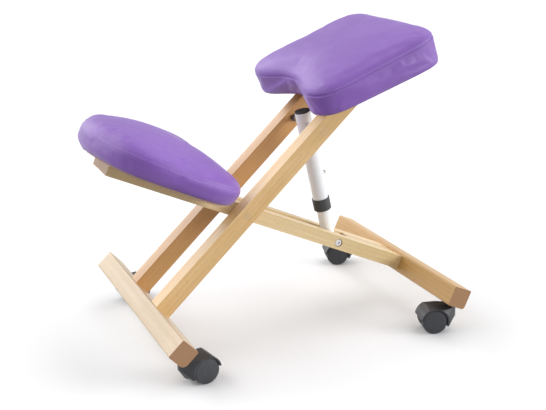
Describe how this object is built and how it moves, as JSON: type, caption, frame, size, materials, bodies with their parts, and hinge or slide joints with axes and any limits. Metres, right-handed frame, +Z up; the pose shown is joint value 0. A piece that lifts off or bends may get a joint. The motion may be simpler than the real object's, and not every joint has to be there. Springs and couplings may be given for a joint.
{
  "type": "kneeling massage chair",
  "caption": "Kneeling chair on casters: crossed beech rails and knee beam held open by a telescopic post, with padded seat and knee rest.",
  "frame": {"origin": "on the floor, under the middle of the object's bounding box", "axes": "+Z up; +Y towards the back, the sitter faces -Y; +X towards the sitter's left"},
  "size_m": [0.5026, 0.6974, 0.5947],
  "materials": {
    "beech": "clear satin lacquer",
    "plywood": "unfinished",
    "purple_leatherette": "fine grained, low sheen",
    "white_steel": "satin powder coat",
    "black_plastic": "fine moulded texture",
    "wheel_plastic": "satin",
    "zinc_steel": "bright zinc plate"
  },
  "bodies": {
    "seat_frame": {"left_seat_rail": "beech", "right_seat_rail": "beech", "front_crossbar": "beech", "rail_screws": "zinc_steel", "seat_crosspiece": "beech", "crosspiece_dowels": "beech", "seat_board": "plywood", "seat_bolts": "zinc_steel", "seat_cushion": "purple_leatherette", "crossing_bolt": "zinc_steel", "crossing_nut": "zinc_steel", "crossing_washers": "black_plastic", "crossing_plugs": "beech", "post_top_bolt": "zinc_steel", "post_top_nuts": "zinc_steel", "post_top_plugs": "beech", "front_caster_sockets": "zinc_steel"},
    "knee_beam": {"left_beam_board": "beech", "right_beam_board": "beech", "beam_front_block": "beech", "beam_rear_block": "beech", "rear_crossbar": "beech", "beam_screws": "zinc_steel", "knee_board": "plywood", "knee_bolts": "zinc_steel", "knee_cushion": "purple_leatherette", "post_bottom_bolt": "zinc_steel", "post_bottom_nut": "zinc_steel", "post_bottom_washers": "black_plastic", "rear_caster_sockets": "zinc_steel"},
    "post_upper": {"upper_tube": "white_steel", "upper_tube_cap": "black_plastic", "tube_collar": "black_plastic", "screw_boss": "white_steel"},
    "post_lock": {"locking_screw": "zinc_steel"},
    "post_lower": {"lower_tube": "white_steel", "lower_tube_glide": "black_plastic"},
    "front_left_caster": {"front_left_caster_hood": "black_plastic", "front_left_caster_stem": "zinc_steel", "front_left_caster_axle": "zinc_steel"},
    "front_left_inner_wheel": {"front_left_caster_inner_wheel": "wheel_plastic"},
    "front_left_outer_wheel": {"front_left_caster_outer_wheel": "wheel_plastic"},
    "front_right_caster": {"front_right_caster_hood": "black_plastic", "front_right_caster_stem": "zinc_steel", "front_right_caster_axle": "zinc_steel"},
    "front_right_inner_wheel": {"front_right_caster_inner_wheel": "wheel_plastic"},
    "front_right_outer_wheel": {"front_right_caster_outer_wheel": "wheel_plastic"},
    "rear_left_caster": {"rear_left_caster_hood": "black_plastic", "rear_left_caster_stem": "zinc_steel", "rear_left_caster_axle": "zinc_steel"},
    "rear_left_inner_wheel": {"rear_left_caster_inner_wheel": "wheel_plastic"},
    "rear_left_outer_wheel": {"rear_left_caster_outer_wheel": "wheel_plastic"},
    "rear_right_caster": {"rear_right_caster_hood": "black_plastic", "rear_right_caster_stem": "zinc_steel", "rear_right_caster_axle": "zinc_steel"},
    "rear_right_inner_wheel": {"rear_right_caster_inner_wheel": "wheel_plastic"},
    "rear_right_outer_wheel": {"rear_right_caster_outer_wheel": "wheel_plastic"}
  },
  "joints": [
    {"name": "main_fold", "type": "hinge", "parent": "seat_frame", "child": "knee_beam", "pos_m": [0, -0.0532, 0.2543], "axis": [1, 0, 0], "range_deg": [-12, 8]},
    {"name": "post_tilt", "type": "hinge", "parent": "seat_frame", "child": "post_upper", "pos_m": [0, 0.10874, 0.40321], "axis": [1, 0, 0], "range_deg": [-6.8, 4.6]},
    {"name": "post_slide", "type": "slide", "parent": "post_upper", "child": "post_lower", "axis": [0, 0.2036, -0.9791], "range_m": [-0.027, 0.04]},
    {"name": "lock_screw_turn", "type": "hinge", "parent": "post_upper", "child": "post_lock", "pos_m": [0, 0.1319, 0.2918], "axis": [0, 0.9791, 0.2036], "range_deg": [0, 360]},
    {"name": "front_left_swivel", "type": "hinge", "parent": "seat_frame", "child": "front_left_caster", "pos_m": [0.214, -0.2315, 0.07], "axis": [0, 0, 1], "continuous": true},
    {"name": "front_left_inner_wheel_spin", "type": "hinge", "parent": "front_left_caster", "child": "front_left_inner_wheel", "pos_m": [0.20862, -0.20097, 0.025], "axis": [0.9848, 0.1736, 0], "continuous": true},
    {"name": "front_left_outer_wheel_spin", "type": "hinge", "parent": "front_left_caster", "child": "front_left_outer_wheel", "pos_m": [0.20862, -0.20097, 0.025], "axis": [0.9848, 0.1736, 0], "continuous": true},
    {"name": "front_right_swivel", "type": "hinge", "parent": "seat_frame", "child": "front_right_caster", "pos_m": [-0.214, -0.2315, 0.07], "axis": [0, 0, 1], "continuous": true},
    {"name": "front_right_inner_wheel_spin", "type": "hinge", "parent": "front_right_caster", "child": "front_right_inner_wheel", "pos_m": [-0.21938, -0.20097, 0.025], "axis": [0.9848, 0.1736, 0], "continuous": true},
    {"name": "front_right_outer_wheel_spin", "type": "hinge", "parent": "front_right_caster", "child": "front_right_outer_wheel", "pos_m": [-0.21938, -0.20097, 0.025], "axis": [0.9848, 0.1736, 0], "continuous": true},
    {"name": "rear_left_swivel", "type": "hinge", "parent": "knee_beam", "child": "rear_left_caster", "pos_m": [0.214, 0.31856, 0.07], "axis": [0, 0, 1], "continuous": true},
    {"name": "rear_left_inner_wheel_spin", "type": "hinge", "parent": "rear_left_caster", "child": "rear_left_inner_wheel", "pos_m": [0.20598, 0.28862, 0.025], "axis": [-0.9659, 0.2588, 0], "continuous": true},
    {"name": "rear_left_outer_wheel_spin", "type": "hinge", "parent": "rear_left_caster", "child": "rear_left_outer_wheel", "pos_m": [0.20598, 0.28862, 0.025], "axis": [-0.9659, 0.2588, 0], "continuous": true},
    {"name": "rear_right_swivel", "type": "hinge", "parent": "knee_beam", "child": "rear_right_caster", "pos_m": [-0.214, 0.31856, 0.07], "axis": [0, 0, 1], "continuous": true},
    {"name": "rear_right_inner_wheel_spin", "type": "hinge", "parent": "rear_right_caster", "child": "rear_right_inner_wheel", "pos_m": [-0.22202, 0.28862, 0.025], "axis": [-0.9659, 0.2588, 0], "continuous": true},
    {"name": "rear_right_outer_wheel_spin", "type": "hinge", "parent": "rear_right_caster", "child": "rear_right_outer_wheel", "pos_m": [-0.22202, 0.28862, 0.025], "axis": [-0.9659, 0.2588, 0], "continuous": true}
  ],
  "couplings": [
    {"joint": "post_tilt", "follows": "main_fold", "ratio": 0.5531},
    {"joint": "post_slide", "follows": "main_fold", "m_per_rad": -0.18645}
  ]
}
